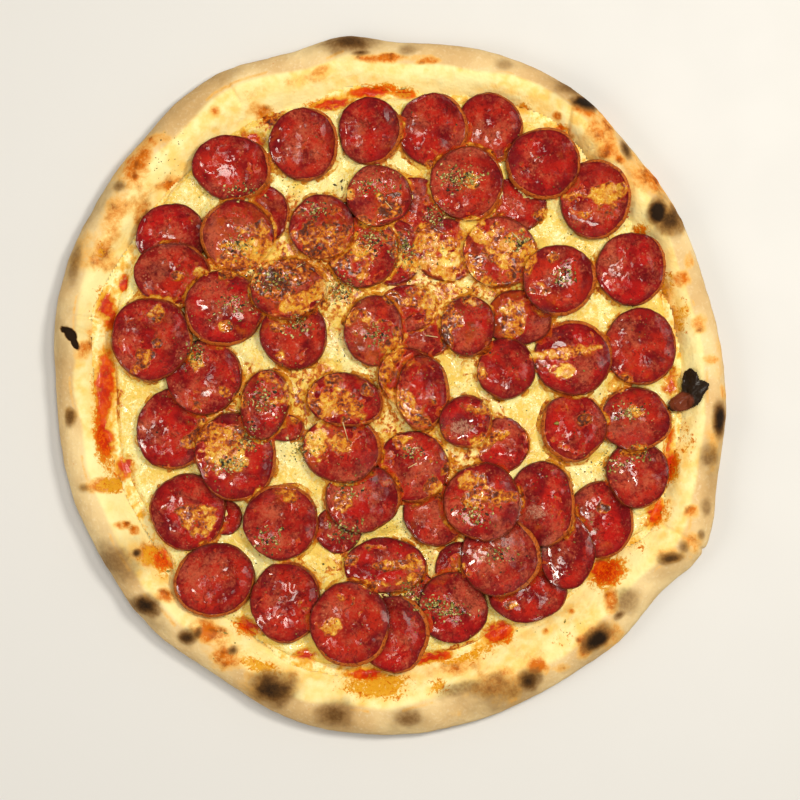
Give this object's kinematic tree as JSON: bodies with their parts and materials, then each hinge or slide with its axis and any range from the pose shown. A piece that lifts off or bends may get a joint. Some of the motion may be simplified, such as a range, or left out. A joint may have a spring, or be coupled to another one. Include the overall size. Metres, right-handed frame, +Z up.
{
  "type": "sausage pizza",
  "caption": "Whole round pizza with a puffed, scorched rim, tomato sauce, melted cheese, overlapping slices of smoked sausage and oregano, ready to cut and serve.",
  "frame": {"origin": "middle of the crust's flat underside, on the surface that the pizza lies on", "axes": "+Z up out of the toppings; +X to the right and +Y to the top of the picture, which looks straight down"},
  "size_m": [0.3436, 0.358, 0.023],
  "materials": {
    "crust": "baked wheat dough, pale cream with brown and black scorch spots, dry and floury outside",
    "sauce": "cooked tomato sauce, wet and orange-red",
    "cheese": "melted cheese, pale yellow, orange where browned, slightly oily",
    "sausage": "sliced smoked sausage, dark red flecked with pink fat, oily",
    "burnt": "black and dark brown scorched scrap, slightly shiny"
  },
  "bodies": {
    "root": {"crust": "crust", "sauce": "sauce", "cheese": "cheese", "sausage_slice_01": "sausage", "sausage_slice_02": "sausage", "sausage_slice_03": "sausage", "sausage_slice_04": "sausage", "sausage_slice_05": "sausage", "sausage_slice_06": "sausage", "sausage_slice_07": "sausage", "sausage_slice_08": "sausage", "sausage_slice_09": "sausage", "sausage_slice_10": "sausage", "sausage_slice_11": "sausage", "sausage_slice_12": "sausage", "sausage_slice_13": "sausage", "sausage_slice_14": "sausage", "sausage_slice_15": "sausage", "sausage_slice_16": "sausage", "sausage_slice_17": "sausage", "sausage_slice_18": "sausage", "sausage_slice_19": "sausage", "sausage_slice_20": "sausage", "sausage_slice_21": "sausage", "sausage_slice_22": "sausage", "sausage_slice_23": "sausage", "sausage_slice_24": "sausage", "sausage_slice_25": "sausage", "sausage_slice_26": "sausage", "sausage_slice_27": "sausage", "sausage_slice_28": "sausage", "sausage_slice_29": "sausage", "sausage_slice_30": "sausage", "sausage_slice_31": "sausage", "sausage_slice_32": "sausage", "sausage_slice_33": "sausage", "sausage_slice_34": "sausage", "sausage_slice_35": "sausage", "sausage_slice_36": "sausage", "sausage_slice_37": "sausage", "sausage_slice_38": "sausage", "sausage_slice_39": "sausage", "sausage_slice_40": "sausage", "sausage_slice_41": "sausage", "sausage_slice_42": "sausage", "sausage_slice_43": "sausage", "sausage_slice_44": "sausage", "sausage_slice_45": "sausage", "sausage_slice_46": "sausage", "sausage_slice_47": "sausage", "sausage_slice_48": "sausage", "sausage_slice_49": "sausage", "sausage_slice_50": "sausage", "sausage_slice_51": "sausage", "sausage_slice_52": "sausage", "sausage_slice_53": "sausage", "sausage_slice_54": "sausage", "sausage_slice_55": "sausage", "sausage_slice_56": "sausage", "burnt_crisp": "burnt"}
  },
  "joints": []
}
